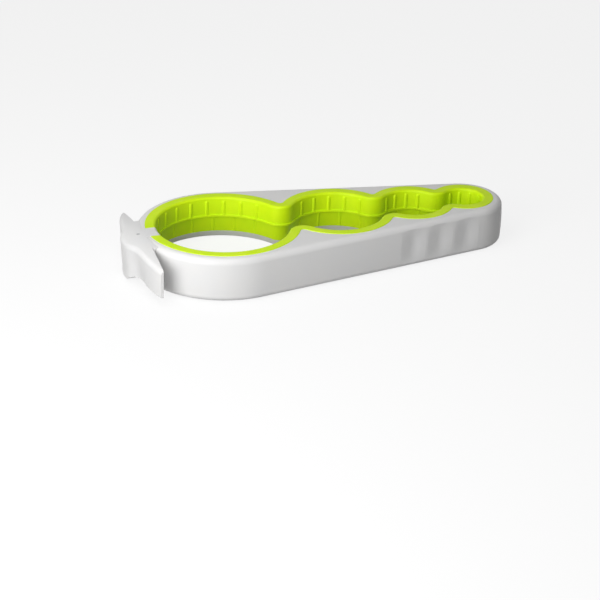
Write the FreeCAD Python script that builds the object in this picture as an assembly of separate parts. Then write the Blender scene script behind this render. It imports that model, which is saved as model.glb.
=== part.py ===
import FreeCAD, Part
import math
import os

# Four-ring jar opener. Millimetres, +Z up, +X from the large ring towards the tail.
# The origin is the centre of the footprint, on the underside.

# Rings and the necks between them
RING_R = (37.6, 26.1, 17.3, 11.1)       # radius inside the ribs, head to tail
NECK_HALF = (12.78, 10.65, 7.4)         # half the width of the gap from ring to ring
NECK_ROUND = 8.8                        # radius of the corner where two rings meet

# Heights
TOTAL_H = 26.0                          # underside to the top of the green rim
RIM_PROUD = 0.3                         # rim above the white deck
JOINT_Z = 13.6                          # where the upper and lower liners meet
LOWER_LINER_Z = 3.9                     # bottom end of the lower liner

# Casing, all widths from the widest line of its convex side
DECK_HEAD = 5.0                         # deck outside the rim, round the head
DECK_TAIL = 5.5                         # and round the tail
SIDE_SAG = 0.6                          # the side draws in this far at top and bottom
WALL = 2.6
FOOT_W = 4.4                            # foot of the wall, round the base cover
FOOT_H = 2.4
DECK_T = 2.8
RING_WALL = 2.0                         # wall that carries the upper liner
TOP_ROUND = 3.9
BOTTOM_ROUND = 3.4

# Liners, all widths from the ribs' inner line
RIM_W = 6.8                             # width of the green rim
RIM_SINK = 1.8                          # depth of the rim's seat below the deck
LINER_T = 3.3
LAP_T = 0.9                             # liner folded over the end of its wall
JOINT_GAP = 0.3
RIM_ROUND = 1.4
EDGE_ROUND = 0.3
LIP_H = 1.4                             # bead along the upper liner's lower edge
FLARE_TOP = 2.0                         # the lower liner opens from this past the ribs
FLARE_BOTTOM = 3.0                      # of the upper liner to this
RIB_R = 1.2
RIB_H = 0.6                             # the upper ribs and the bead stand this far out
LOWER_RIB_H = 0.35                      # and the lower ribs this far
RIB_DROP = 1.9                          # top of the upper ribs below the top of the rim
RIB_END = 0.5                           # the lower ribs stop this far from both ends
UPPER_RIBS = (24, 18, 16, 12)           # ribs in a full turn of each ring
LOWER_RIBS = (20, 14, 10, 8)
UPPER_FIRST = (12.0, 0.0, 11.25, 15.0)  # angle of the first rib from the tail side
LOWER_FIRST = (9.0, 14.3, 18.0, 22.5)

# Base cover
PLATE_T = 2.2
COVER_WALL = 1.8                        # wall that carries the lower liner
COVER_LINER_T = 4.4                     # space for the lower liner inside that wall
LEAD_IN = 4.8                           # the cover's mouth opens this far past the ribs

# Finger grips in both sides of the tail
GRIP_COUNT = 3
GRIP_PITCH = 18.0
GRIP_FROM_TAIL = 11.6                   # last grip to the end of the straight side
GRIP_DEPTH = 1.2
GRIP_MARGIN = 1.6                       # the grips fade out this far from top and bottom
GRIP_SKIN = 0.015                       # and this deep
GRIP_STEPS = 8                          # points along one grip and up its height

# Cover screws and the pillars they bite in
SCREW_SHIFT = 0.2                       # share of the way from a neck's corner to the side
SCREW_R = 1.3
SCREW_L = 13.0
SCREW_HEAD_R = 2.7
SCREW_HEAD_H = 1.9
SCREW_SLOT = 0.7                        # width of one arm of the cross in the head
PILLAR_R = 3.1
PAD_H = 5.0                             # cover pad under a pillar
PAD_WALL = 1.0
HEAD_SINK = 2.5                         # screw head's seat above the underside
WEB_T = 1.6
WEB_Z = 9.0

# Lid lifter at the head
LIFTER_BACK = 47.0                      # its straight back, from the large ring's centre
LIFTER_HALF_W = 42.3
LIFTER_Z = 4.9
LIFTER_TIP_T = 1.6
LIFTER_TOP = ((13.0, 0.0), (10.8, 12.0), (8.0, 24.4))                  # depth, half width
LIFTER_FOOT = ((10.6, 0.0), (9.8, 8.0), (6.0, 14.0), (4.8, 24.0), (3.6, 34.0))
KEEL_Z = 0.5                            # a keel under its middle reaches down to this height
KEEL_HALF_W = 11.0                      # half its width at the top
KEEL_TIP = 3.0                          # and at its blunt lower end
CROWN_ACROSS = 182.0                    # radius of the lifter's top across the tool
CROWN_ALONG = 34.0                      # and along it
CROWN_INSIDE = 3.0                      # top of the crown, inside the straight back
NOSE_ROUND = 3.0                        # radius of its front top edge
ROOT_DEPTH = 5.6                        # its root reaches this far from the straight back
ROOT_LOW = (21.0, 27.5)                 # half the root's width at its foot, back and far end
ROOT_HIGH = (19.0, 19.0)                # and at the deck
STEM_W = 11.0
STEM_T = 3.2
LUG_W = 12.0
LUG_REACH = 7.0                         # lug on the casing that the lifter slides over
LUG_LOW = 9.3
LUG_HIGH = 17.1
PIN_R = 1.0
PIN_FROM_WALL = 0.3
PIN_LOW = 10.1
PIN_SINK = 0.5                          # top of the pin below the rim's top

# Clearances
BOND = 0.03                             # moulded-on liner to its wall
SEAM = 0.15                             # cover, lifter and lug seats
THREAD = 0.05
SCREW_PLAY = 0.4

# Worked out from the sizes above
DECK_Z = TOTAL_H - RIM_PROUD
RIM_Z = DECK_Z - RIM_SINK
HEAD_R = RING_R[0] + RIM_W + DECK_HEAD
TAIL_R = RING_R[-1] + RIM_W + DECK_TAIL
NECK_Y = [half + NECK_ROUND for half in NECK_HALF]
BEFORE_NECK = [math.sqrt((r + NECK_ROUND) ** 2 - y ** 2) for r, y in zip(RING_R, NECK_Y)]
AFTER_NECK = [math.sqrt((r + NECK_ROUND) ** 2 - y ** 2) for r, y in zip(RING_R[1:], NECK_Y)]
RING_SPAN = sum(BEFORE_NECK) + sum(AFTER_NECK)
LIFTER_REACH = LIFTER_BACK + LIFTER_TOP[0][0]
HEAD_X = (LIFTER_REACH - RING_SPAN - TAIL_R) / 2
LIFTER_X = HEAD_X - LIFTER_BACK
RING_X = [HEAD_X + sum(BEFORE_NECK[:i]) + sum(AFTER_NECK[:i]) for i in range(len(RING_R))]
NECK_X = [x + step for x, step in zip(RING_X, BEFORE_NECK)]
TAIL_X = RING_X[-1]
TAPER = math.asin((HEAD_R - TAIL_R) / RING_SPAN)
UPPER_LINER_Z = JOINT_Z + JOINT_GAP / 2
LOWER_LINER_TOP = JOINT_Z - JOINT_GAP / 2
UPPER_WALL_Z = UPPER_LINER_Z + LAP_T
LOWER_WALL_Z = LOWER_LINER_TOP - LAP_T
CORE = WALL + TOP_ROUND + SIDE_SAG      # the casing's rim band is swept this wide
BEYOND = 5.0                            # cutting tools run this far past the part


def vec(x, y, z):
    return FreeCAD.Vector(x, y, z)


def arc(x, y, z, radius, start, end):
    points = []
    for angle in (start, (start + end) / 2, end):
        points.append(vec(x + radius * math.cos(angle), y + radius * math.sin(angle), z))
    return Part.Arc(*points).toShape()


def opening(offset, z):
    """Closed line round all four rings, this far outside the ribs' inner line."""
    towards_tail = [math.atan2(y, dx) for dx, y in zip(BEFORE_NECK, NECK_Y)] + [0.0]
    towards_head = [math.pi] + [math.atan2(y, -dx) for dx, y in zip(AFTER_NECK, NECK_Y)]
    half = []
    for i, radius in enumerate(RING_R):
        half.append((RING_X[i], 0.0, radius + offset, towards_head[i], towards_tail[i]))
        if i < len(NECK_X):
            start = towards_tail[i] + math.pi
            end = towards_head[i + 1] + math.pi
            half.append((NECK_X[i], NECK_Y[i], NECK_ROUND - offset, start, end))
    edges = [arc(x, y, z, radius, start, end) for x, y, radius, start, end in half]
    for x, y, radius, start, end in reversed(half):
        edges.append(arc(x, -y, z, radius, -end, -start))
    return Part.Wire(edges)


def outline(inset, z):
    """Closed line this far inside the casing's widest line."""
    head = HEAD_R - inset
    tail = TAIL_R - inset
    side = math.pi / 2 - TAPER
    edges = [arc(HEAD_X, 0, z, head, math.pi, side)]
    start = edges[0].Vertexes[-1].Point
    tail_arc = arc(TAIL_X, 0, z, tail, side, 0)
    edges.append(Part.LineSegment(start, tail_arc.Vertexes[0].Point).toShape())
    edges.append(tail_arc)
    edges.append(arc(TAIL_X, 0, z, tail, 0, -side))
    far_arc = arc(HEAD_X, 0, z, head, -side, -math.pi)
    edges.append(Part.LineSegment(edges[-1].Vertexes[-1].Point, far_arc.Vertexes[0].Point).toShape())
    edges.append(far_arc)
    return Part.Wire(edges)


def prism(line, size, low, high):
    return Part.Face(line(size, low)).extrude(vec(0, 0, high - low))


def flare(low_offset, low, high_offset, high):
    return Part.makeLoft([opening(low_offset, low), opening(high_offset, high)], True, True)


def block(x_low, x_high, half_width, low, high):
    corner = vec(x_low, -half_width, low)
    return Part.makeBox(x_high - x_low, 2 * half_width, high - low, corner)


def level_edges(shape, z):
    return [e for e in shape.Edges if abs(e.BoundBox.ZMin - z) + abs(e.BoundBox.ZMax - z) < 1e-4]


def round_edges(shape, radius, z, radii):
    """Round the level edges at this height whose arcs have one of these radii."""
    chosen = []
    for edge in level_edges(shape, z):
        curve = edge.Curve
        if hasattr(curve, "Radius") and any(abs(curve.Radius - r) < 1e-4 for r in radii):
            chosen.append(edge)
    return shape.makeFillet(radius, chosen)


def bore_radii(offset):
    return [r + offset for r in RING_R] + [NECK_ROUND - offset]


def side_y(x):
    """Half width of the casing's inner face beside this place."""
    distance = HEAD_R - WALL - (x - HEAD_X) * math.sin(TAPER)
    return distance / math.cos(TAPER)


def screw_places():
    for x, y in zip(NECK_X, NECK_Y):
        out = y + SCREW_SHIFT * (side_y(x) - y)
        yield x, out
        yield x, -out


def rib_angles(counts, firsts):
    """Ring number and angle of each rib, both sides of the long axis."""
    for i, count in enumerate(counts):
        start = math.atan2(NECK_Y[i], BEFORE_NECK[i]) if i < len(NECK_Y) else 0.0
        stop = math.atan2(NECK_Y[i - 1], -AFTER_NECK[i - 1]) if i else math.pi
        margin = RIB_R / RING_R[i]
        if i == 0:
            stop -= (STEM_W / 2 + RIB_R) / RING_R[i]
        for step in range(count):
            angle = math.radians(firsts[i] + step * 360.0 / count)
            if start + margin < angle < stop - margin:
                yield i, angle
                yield i, -angle


def rib_place(i, angle, offset, height, z):
    """Centre of a rib that stands this high out of a wall at this offset."""
    radius = RING_R[i] + offset + RIB_R - height
    return vec(RING_X[i] + radius * math.cos(angle), radius * math.sin(angle), z)


def casing_form(grow):
    """The casing's solid outer form, enlarged by grow."""
    edge_x = HEAD_X - HEAD_R - grow
    high = DECK_Z + grow
    low_out = vec(edge_x + SIDE_SAG, 0, 0)
    high_out = vec(edge_x + SIDE_SAG, 0, high)
    low_in = vec(edge_x + CORE, 0, 0)
    high_in = vec(edge_x + CORE, 0, high)
    bulge = Part.Arc(low_out, vec(edge_x, 0, high / 2), high_out).toShape()
    profile = Part.Wire([bulge] + Part.makePolygon([high_out, high_in, low_in, low_out]).Edges)
    band = outline(-grow, 0).makePipeShell([profile], True, False)
    form = band.fuse(prism(outline, CORE / 2, 0.0, high)).removeSplitter()
    form = form.makeFillet(TOP_ROUND, level_edges(form, high))
    return form.makeFillet(BOTTOM_ROUND, level_edges(form, 0.0))


def grip_cutter(side):
    """Block whose inner face is a row of shallow waves that fade out at top and bottom."""
    along = vec(math.cos(TAPER), -side * math.sin(TAPER), 0)
    out = vec(math.sin(TAPER), side * math.cos(TAPER), 0)
    tail_end = vec(HEAD_X, 0, 0) + along * (RING_SPAN * math.cos(TAPER))
    first = tail_end - along * (GRIP_FROM_TAIL + (GRIP_COUNT - 0.5) * GRIP_PITCH)
    rows = []
    for level in range(GRIP_STEPS + 1):
        share = level / GRIP_STEPS
        z = GRIP_MARGIN + share * (DECK_Z - 2 * GRIP_MARGIN)
        sag = SIDE_SAG * (2 * z / DECK_Z - 1) ** 2
        row = []
        for step in range(GRIP_COUNT * GRIP_STEPS + 1):
            wave = math.sin(math.pi * step / GRIP_STEPS) ** 2
            depth = sag - GRIP_SKIN + GRIP_DEPTH * wave * math.sin(math.pi * share)
            row.append(first + along * (GRIP_PITCH * step / GRIP_STEPS) + out * (HEAD_R - depth) + vec(0, 0, z))
        rows.append(row)
    surface = Part.BSplineSurface()
    surface.interpolate(rows)
    return surface.toShape().extrude(out * BEYOND)


def make_casing():
    body = casing_form(0.0)
    body = body.cut(prism(outline, WALL, FOOT_H, DECK_Z - DECK_T))
    body = body.cut(prism(outline, FOOT_W, -BEYOND, FOOT_H + BEYOND))
    body = body.fuse(prism(opening, LINER_T + RING_WALL, UPPER_WALL_Z, RIM_Z))
    for x, y in screw_places():
        pillar = Part.makeCylinder(PILLAR_R, RIM_Z - PAD_H - SEAM, vec(x, y, PAD_H + SEAM))
        reach = side_y(x) + WALL / 2
        web_y = min(y, math.copysign(reach, y))
        web = Part.makeBox(WEB_T, abs(reach - abs(y)), RIM_Z - WEB_Z, vec(x - WEB_T / 2, web_y, WEB_Z))
        body = body.fuse([pillar, web])
    lug_x = HEAD_X - HEAD_R
    body = body.fuse(block(lug_x - LUG_REACH, lug_x + WALL / 2, LUG_W / 2, LUG_LOW, LUG_HIGH))
    body = body.cut(prism(opening, LINER_T, UPPER_WALL_Z - BEYOND, TOTAL_H + BEYOND))
    body = body.cut(prism(opening, RIM_W, RIM_Z, TOTAL_H + BEYOND))
    slot_low = TOTAL_H - STEM_T - SEAM
    slot = block(lug_x - BEYOND, HEAD_X - RING_R[0] + BEYOND, STEM_W / 2 + SEAM, slot_low, TOTAL_H)
    pilot = SCREW_L + HEAD_SINK + THREAD
    holes = [slot, lifter_pin_hole(), grip_cutter(1), grip_cutter(-1)]
    for x, y in screw_places():
        holes.append(Part.makeCylinder(SCREW_R + THREAD, pilot, vec(x, y, 0)))
    return body.cut(holes).removeSplitter()


def lifter_pin_hole():
    low = PIN_LOW - SEAM
    x = HEAD_X - HEAD_R - PIN_FROM_WALL
    return Part.makeCylinder(PIN_R + THREAD, TOTAL_H + BEYOND - low, vec(x, 0, low))


def make_upper_liner():
    low = UPPER_LINER_Z
    body = prism(opening, RIM_W - BOND, RIM_Z + BOND, TOTAL_H)
    body = body.fuse(prism(opening, LINER_T - BOND, low, RIM_Z + BOND))
    body = body.fuse(prism(opening, LINER_T + RING_WALL, low, UPPER_WALL_Z - BOND))
    body = body.removeSplitter().cut(prism(opening, 0.0, low - BEYOND, low + LIP_H))
    body = body.cut(prism(opening, RIB_H, low + LIP_H, TOTAL_H + BEYOND))
    body = round_edges(body, RIM_ROUND, TOTAL_H, bore_radii(RIB_H))
    body = round_edges(body, EDGE_ROUND, TOTAL_H, bore_radii(RIM_W - BOND))
    for z in (low, low + LIP_H):
        body = round_edges(body, EDGE_ROUND, z, bore_radii(0.0))
    rib_low = low + LIP_H / 2
    rib_high = TOTAL_H - RIB_DROP - RIB_R
    ribs = []
    for i, angle in rib_angles(UPPER_RIBS, UPPER_FIRST):
        base = rib_place(i, angle, RIB_H, RIB_H, rib_low)
        tip = base + vec(0, 0, rib_high + RIB_R - rib_low)
        rim = base + vec(RIB_R, 0, rib_high - rib_low)
        mid = base + vec(RIB_R * math.sqrt(0.5), 0, rib_high - rib_low + RIB_R * math.sqrt(0.5))
        dome = Part.Arc(rim, mid, tip).toShape()
        profile = Part.Wire([dome] + Part.makePolygon([tip, base, base + vec(RIB_R, 0, 0), rim]).Edges)
        ribs.append(Part.Face(profile).revolve(base, vec(0, 0, 1), 360))
    body = body.fuse(ribs)
    stem_low = TOTAL_H - STEM_T - SEAM
    edge = HEAD_X - RING_R[0]
    slot = block(edge - RIM_W - BEYOND, edge + BEYOND, STEM_W / 2 + SEAM, stem_low, TOTAL_H + BEYOND)
    return body.cut(slot)


def make_lower_liner():
    high = LOWER_LINER_TOP
    low = LOWER_LINER_Z
    slope = (FLARE_BOTTOM - FLARE_TOP) / (high - low)
    ribs = []
    for i, angle in rib_angles(LOWER_RIBS, LOWER_FIRST):
        base = rib_place(i, angle, FLARE_BOTTOM - slope * RIB_END, LOWER_RIB_H, low + RIB_END)
        top = rib_place(i, angle, FLARE_TOP + slope * RIB_END, LOWER_RIB_H, high - RIB_END)
        ribs.append(Part.makeCylinder(RIB_R, (top - base).Length, base, top - base))
    body = prism(opening, COVER_LINER_T - BOND, low, high)
    body = body.fuse(prism(opening, COVER_LINER_T + COVER_WALL, LOWER_WALL_Z + BOND, high))
    body = body.removeSplitter().cut(flare(FLARE_BOTTOM, low, FLARE_TOP, high).cut(ribs))
    return round_edges(body, EDGE_ROUND, high, bore_radii(FLARE_TOP))


def make_base_cover():
    body = prism(outline, FOOT_W + SEAM, 0.0, PLATE_T)
    body = body.fuse(prism(opening, COVER_LINER_T + COVER_WALL, 0.0, LOWER_WALL_Z))
    head_hole = SCREW_HEAD_R + SCREW_PLAY
    for x, y in screw_places():
        body = body.fuse(Part.makeCylinder(head_hole + PAD_WALL, PAD_H, vec(x, y, 0)))
    seat = LOWER_LINER_Z - BOND
    body = body.cut(prism(opening, COVER_LINER_T, seat, JOINT_Z + BEYOND))
    body = body.cut(flare(LEAD_IN, 0.0, FLARE_BOTTOM, seat))
    holes = []
    for x, y in screw_places():
        holes.append(Part.makeCylinder(head_hole, HEAD_SINK, vec(x, y, 0)))
        holes.append(Part.makeCylinder(SCREW_R + SCREW_PLAY, PAD_H + BEYOND, vec(x, y, 0)))
    room = prism(outline, FOOT_W + SEAM, 0.0, JOINT_Z)
    return body.cut(holes).common(room).removeSplitter()


def lifter_line(points, z):
    """Plan of the lifter at one height: a curved front, two thin tips, a straight back."""
    tip = [(LIFTER_TIP_T, LIFTER_HALF_W)]
    half = list(points) + tip
    front = [vec(LIFTER_X - d, -w, z) for d, w in reversed(half)]
    front += [vec(LIFTER_X - d, w, z) for d, w in half[1:]]
    curve = Part.BSplineCurve()
    curve.interpolate(front)
    corners = [front[-1], vec(LIFTER_X, LIFTER_HALF_W, z), vec(LIFTER_X, -LIFTER_HALF_W, z), front[0]]
    return Part.Wire([curve.toShape()] + Part.makePolygon(corners).Edges)


def lifter_crown():
    """Barrel form that rounds the lifter's top along and across the tool."""
    centre = vec(LIFTER_X + CROWN_INSIDE, 0, TOTAL_H - CROWN_ACROSS)
    return Part.makeTorus(CROWN_ACROSS - CROWN_ALONG, CROWN_ALONG, centre, vec(1, 0, 0))


def lifter_root():
    """What fills the gap between the straight back and the round head, up to the deck."""
    lines = []
    for z, (near, far) in ((LIFTER_Z, ROOT_LOW), (DECK_Z, ROOT_HIGH)):
        half = [(LIFTER_X - WALL, near), (LIFTER_X, near), (LIFTER_X + ROOT_DEPTH, far)]
        line = [vec(x, y, z) for x, y in half] + [vec(x, -y, z) for x, y in reversed(half)]
        lines.append(Part.makePolygon(line + line[:1]))
    return Part.makeLoft(lines, True, True)


def lifter_keel():
    """Blunt point under the middle of the lifter, in line with its front."""
    column = Part.Face(lifter_line(LIFTER_FOOT, KEEL_Z)).extrude(vec(0, 0, LIFTER_Z - KEEL_Z))
    half = [(KEEL_TIP, KEEL_Z), (KEEL_HALF_W, LIFTER_Z)]
    front = LIFTER_X - LIFTER_FOOT[0][0] - BEYOND
    line = [vec(front, y, z) for y, z in half] + [vec(front, -y, z) for y, z in reversed(half)]
    wedge = Part.Face(Part.makePolygon(line + line[:1])).extrude(vec(LIFTER_X - front, 0, 0))
    return column.common(wedge)


def make_lid_lifter():
    lines = [lifter_line(LIFTER_FOOT, LIFTER_Z), lifter_line(LIFTER_TOP, TOTAL_H + BEYOND)]
    crown = lifter_crown()
    body = Part.makeLoft(lines, True, True).common(crown)
    edges = [e for e in body.Edges if e.BoundBox.ZMin > TOTAL_H / 2]
    body = body.makeFillet(NOSE_ROUND, [e for e in edges if e.BoundBox.XMax < LIFTER_X - LIFTER_TIP_T / 2])
    body = body.fuse([lifter_root().common(crown), lifter_keel()]).cut(casing_form(SEAM))
    stem = block(LIFTER_X - WALL, HEAD_X, STEM_W / 2, TOTAL_H - STEM_T, TOTAL_H)
    stem = stem.cut(Part.makeCylinder(RING_R[0] + RIB_H, TOTAL_H + BEYOND, vec(HEAD_X, 0, 0)))
    stem = round_edges(stem, RIM_ROUND, TOTAL_H, [RING_R[0] + RIB_H])
    start = block(LIFTER_X - WALL, LIFTER_X + CROWN_INSIDE, STEM_W / 2, TOTAL_H - STEM_T, TOTAL_H)
    body = body.fuse(stem.cut(start.cut(crown)))
    lug_x = HEAD_X - HEAD_R
    pocket = block(lug_x - LUG_REACH - SEAM, lug_x + WALL, LUG_W / 2 + SEAM, LUG_LOW - SEAM, LUG_HIGH + SEAM)
    return body.cut([pocket, lifter_pin_hole()]).removeSplitter()


def make_lifter_pin():
    x = HEAD_X - HEAD_R - PIN_FROM_WALL
    return Part.makeCylinder(PIN_R, TOTAL_H - PIN_SINK - PIN_LOW, vec(x, 0, PIN_LOW))


def make_cover_screws():
    screws = []
    for x, y in screw_places():
        head = Part.makeCylinder(SCREW_HEAD_R, SCREW_HEAD_H, vec(x, y, HEAD_SINK - SCREW_HEAD_H))
        shaft = Part.makeCylinder(SCREW_R, SCREW_L, vec(x, y, HEAD_SINK))
        screw = head.fuse(shaft).removeSplitter()
        low = HEAD_SINK - SCREW_HEAD_H
        arm = SCREW_HEAD_R * 0.6
        for length, width in ((arm, SCREW_SLOT / 2), (SCREW_SLOT / 2, arm)):
            corner = vec(x - length, y - width, low)
            screw = screw.cut(Part.makeBox(2 * length, 2 * width, SCREW_HEAD_H / 2, corner))
        screws.append(screw)
    return Part.makeCompound(screws)


PARTS = {
    "casing": make_casing,
    "base_cover": make_base_cover,
    "upper_liner": make_upper_liner,
    "lower_liner": make_lower_liner,
    "lid_lifter": make_lid_lifter,
    "lifter_pin": make_lifter_pin,
    "cover_screws": make_cover_screws,
}

os.makedirs("parts", exist_ok=True)
for name, make in PARTS.items():
    shape = make()
    shape.exportStep("parts/" + name + ".step")
    print(name, len(shape.Solids), "solids", round(shape.Volume), "mm3", shape.isValid())
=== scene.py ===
import math

import bpy
from mathutils import Matrix, Vector

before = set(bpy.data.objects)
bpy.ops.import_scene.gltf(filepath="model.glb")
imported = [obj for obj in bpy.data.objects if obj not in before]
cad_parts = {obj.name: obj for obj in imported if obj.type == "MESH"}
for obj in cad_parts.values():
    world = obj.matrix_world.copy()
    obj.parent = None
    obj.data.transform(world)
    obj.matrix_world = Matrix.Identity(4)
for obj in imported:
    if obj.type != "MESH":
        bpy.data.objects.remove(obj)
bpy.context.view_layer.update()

# Camera, measured on the photo's rim circles: metres and degrees, lens and sensor in millimetres
CAMERA_AT = (-0.40035, -1.08819, 0.52429)
CAMERA_TURN = -19.84
CAMERA_DOWN = 25.53
CAMERA_ROLL = 1.60
CAMERA_LENS = 132.0
CAMERA_REACH = (0.05, 20.0)             # nearest and furthest that it sees
SENSOR = 36.0

# Light: a low key beside the head, a wide one from the near side, one above and an even sky
LAMP_AIM = (-0.05, 0.0, 0.012)
LAMPS = (                               # name, place, size in metres and power in watts
    ("key", (-0.46, -0.345, 0.21), 0.34, 2.22),
    ("near_fill", (-0.27, -0.50, 0.26), 0.45, 0.90),
    ("top_fill", (-0.20, -0.05, 0.42), 0.30, 0.56),
)
SKY = 0.24                              # strength of the even sky
FLOOR_LIFT = 0.82                       # share of plain white in the floor that the camera sees
FLOOR_SEEN = 0.95                       # how pale the rest of it is there
FLOOR_BOUNCE = 0.35                     # the floor sends this share of the light back up
FLOOR_SIZE = 8.0
FLOOR_DROP = 0.0002

# Finishes: two linear colours, then sizes in metres
WHITE_PLASTIC = {
    "colours": ((0.735, 0.73, 0.72), (0.72, 0.72, 0.72)),
    "roughness": (0.46, 0.54),
    "grain": 0.0003,
    "patch": 0.018,
    "relief": 0.000004,
    "gloss": 0.4,
}
LIME_RUBBER = {
    "colours": ((0.66, 0.89, 0.002), (0.59, 0.86, 0.003)),
    "roughness": (0.50, 0.60),
    "grain": 0.0004,
    "patch": 0.012,
    "relief": 0.000008,
    "gloss": 0.25,
}
PIN_STEEL = {
    "colours": ((0.56, 0.56, 0.57), (0.40, 0.40, 0.41)),
    "roughness": (0.30, 0.42),
    "grain": 0.0002,
    "patch": 0.001,
    "relief": 0.000004,
    "metallic": 1.0,
}
ZINC_STEEL = {
    "colours": ((0.62, 0.63, 0.64), (0.45, 0.46, 0.48)),
    "roughness": (0.30, 0.45),
    "grain": 0.0003,
    "patch": 0.0012,
    "relief": 0.000006,
    "metallic": 1.0,
}
NOISES = (                              # output, the input that sets its size, octaves
    ("Grain", "Grain size", 2.0),
    ("Patches", "Patch size", 3.0),
)
NOISE_SPREAD = (0.3, 0.7)               # a noise's usual lowest and highest value


def make_texture_group():
    """Fine grain and soft patches over the surface, both from 0 to 1, sizes in metres."""
    group = bpy.data.node_groups.new("grain_and_patches", "ShaderNodeTree")
    sockets = group.interface
    sockets.new_socket("Vector", in_out="INPUT", socket_type="NodeSocketVector")
    nodes = group.nodes
    links = group.links
    entry = nodes.new("NodeGroupInput")
    result = nodes.new("NodeGroupOutput")
    for name, size, octaves in NOISES:
        sockets.new_socket(size, in_out="INPUT", socket_type="NodeSocketFloat")
        sockets.new_socket(name, in_out="OUTPUT", socket_type="NodeSocketFloat")
        scale = nodes.new("ShaderNodeMath")
        scale.operation = "DIVIDE"
        scale.inputs[0].default_value = 1.0
        noise = nodes.new("ShaderNodeTexNoise")
        noise.inputs["Detail"].default_value = octaves
        links.new(entry.outputs[size], scale.inputs[1])
        links.new(entry.outputs["Vector"], noise.inputs["Vector"])
        links.new(scale.outputs[0], noise.inputs["Scale"])
        links.new(noise.outputs["Fac"], result.inputs[name])
    return group


def remap(nodes, links, source, low, high):
    """A value that runs from low to high while its source runs over a noise's usual spread."""
    node = nodes.new("ShaderNodeMapRange")
    node.inputs["From Min"].default_value = NOISE_SPREAD[0]
    node.inputs["From Max"].default_value = NOISE_SPREAD[1]
    node.inputs["To Min"].default_value = low
    node.inputs["To Max"].default_value = high
    links.new(source, node.inputs["Value"])
    return node.outputs["Result"]


def surface(name, colours, roughness, grain, patch, relief, gloss=0.5, metallic=0.0):
    """Material with two close colours in soft patches, an uneven gloss and a fine relief."""
    material = bpy.data.materials.new(name)
    material.use_nodes = True
    nodes = material.node_tree.nodes
    links = material.node_tree.links
    shader = nodes["Principled BSDF"]
    shader.inputs["Metallic"].default_value = metallic
    shader.inputs["Specular IOR Level"].default_value = gloss
    place = nodes.new("ShaderNodeTexCoord")
    texture = nodes.new("ShaderNodeGroup")
    texture.node_tree = TEXTURE
    texture.inputs["Grain size"].default_value = grain
    texture.inputs["Patch size"].default_value = patch
    links.new(place.outputs["Object"], texture.inputs["Vector"])
    mix = nodes.new("ShaderNodeMix")
    mix.data_type = "RGBA"
    mix.inputs["A"].default_value = (*colours[0], 1)
    mix.inputs["B"].default_value = (*colours[1], 1)
    links.new(remap(nodes, links, texture.outputs["Patches"], 0.0, 1.0), mix.inputs["Factor"])
    links.new(mix.outputs["Result"], shader.inputs["Base Color"])
    links.new(remap(nodes, links, texture.outputs["Patches"], *roughness), shader.inputs["Roughness"])
    bump = nodes.new("ShaderNodeBump")
    bump.inputs["Distance"].default_value = relief
    links.new(texture.outputs["Grain"], bump.inputs["Height"])
    links.new(bump.outputs["Normal"], shader.inputs["Normal"])
    return material


def dress(names, material):
    for name in names:
        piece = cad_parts[name]
        piece.data.materials.clear()
        piece.data.materials.append(material)


def seen_directly(nodes, links):
    """1 for the camera's own rays and for mirrored or refracted ones, otherwise 0."""
    path = nodes.new("ShaderNodeLightPath")
    result = path.outputs["Is Camera Ray"]
    for kind in ("Is Glossy Ray", "Is Transmission Ray"):
        either = nodes.new("ShaderNodeMath")
        either.operation = "MAXIMUM"
        links.new(result, either.inputs[0])
        links.new(path.outputs[kind], either.inputs[1])
        result = either.outputs[0]
    return result


def switch(nodes, links, seen, unseen_value, seen_value):
    """One value for the rays that are seen directly, and another for all the rest."""
    node = nodes.new("ShaderNodeMapRange")
    node.inputs["To Min"].default_value = unseen_value
    node.inputs["To Max"].default_value = seen_value
    links.new(seen, node.inputs["Value"])
    return node.outputs["Result"]


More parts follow.
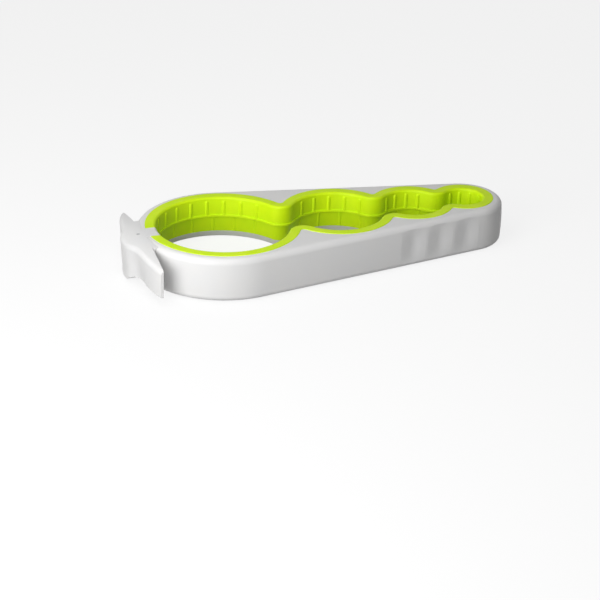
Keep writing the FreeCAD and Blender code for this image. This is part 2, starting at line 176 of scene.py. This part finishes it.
def add_floor():
    """Pale floor: matt, so that it keeps the shadow, and lifted towards white where it is seen."""
    bpy.ops.mesh.primitive_plane_add(size=FLOOR_SIZE, location=(0, 0, -FLOOR_DROP))
    floor = bpy.context.object
    floor.name = "floor"
    material = bpy.data.materials.new("floor")
    material.use_nodes = True
    nodes = material.node_tree.nodes
    links = material.node_tree.links
    nodes.remove(nodes["Principled BSDF"])
    seen = seen_directly(nodes, links)
    matt = nodes.new("ShaderNodeBsdfDiffuse")
    white = nodes.new("ShaderNodeEmission")
    mix = nodes.new("ShaderNodeMixShader")
    links.new(switch(nodes, links, seen, FLOOR_BOUNCE, FLOOR_SEEN), matt.inputs["Color"])
    links.new(switch(nodes, links, seen, 0.0, FLOOR_LIFT), mix.inputs["Fac"])
    links.new(matt.outputs["BSDF"], mix.inputs[1])
    links.new(white.outputs["Emission"], mix.inputs[2])
    links.new(mix.outputs["Shader"], nodes["Material Output"].inputs["Surface"])
    floor.data.materials.append(material)


def add_sky():
    """Even sky, plain white where it is seen."""
    world = bpy.data.worlds.new("sky")
    world.use_nodes = True
    nodes = world.node_tree.nodes
    links = world.node_tree.links
    background = nodes["Background"]
    background.inputs["Color"].default_value = (1, 1, 1, 1)
    seen = seen_directly(nodes, links)
    links.new(switch(nodes, links, seen, SKY, 1.0), background.inputs["Strength"])
    bpy.context.scene.world = world


def add_lamp(name, place, size, power):
    light = bpy.data.lights.new(name, "AREA")
    light.energy = power
    light.size = size
    lamp = bpy.data.objects.new(name, light)
    lamp.location = place
    aim = Vector(LAMP_AIM) - Vector(place)
    lamp.rotation_euler = aim.to_track_quat("-Z", "Y").to_euler()
    bpy.context.collection.objects.link(lamp)


def add_camera():
    data = bpy.data.cameras.new("camera")
    data.lens = CAMERA_LENS
    data.sensor_width = SENSOR
    data.clip_start = CAMERA_REACH[0]
    data.clip_end = CAMERA_REACH[1]
    camera = bpy.data.objects.new("camera", data)
    turn = Matrix.Rotation(math.radians(CAMERA_TURN), 4, "Z")
    down = Matrix.Rotation(math.radians(90 - CAMERA_DOWN), 4, "X")
    roll = Matrix.Rotation(math.radians(CAMERA_ROLL), 4, "Z")
    camera.matrix_world = Matrix.Translation(CAMERA_AT) @ turn @ down @ roll
    bpy.context.collection.objects.link(camera)
    bpy.context.scene.camera = camera


TEXTURE = make_texture_group()
dress(("casing", "base_cover", "lid_lifter"), surface("white_plastic", **WHITE_PLASTIC))
dress(("upper_liner", "lower_liner"), surface("lime_rubber", **LIME_RUBBER))
dress(("lifter_pin",), surface("pin_steel", **PIN_STEEL))
dress(("cover_screws",), surface("zinc_steel", **ZINC_STEEL))

add_floor()
add_sky()
for lamp_values in LAMPS:
    add_lamp(*lamp_values)
add_camera()
bpy.context.scene.view_settings.view_transform = "Standard"
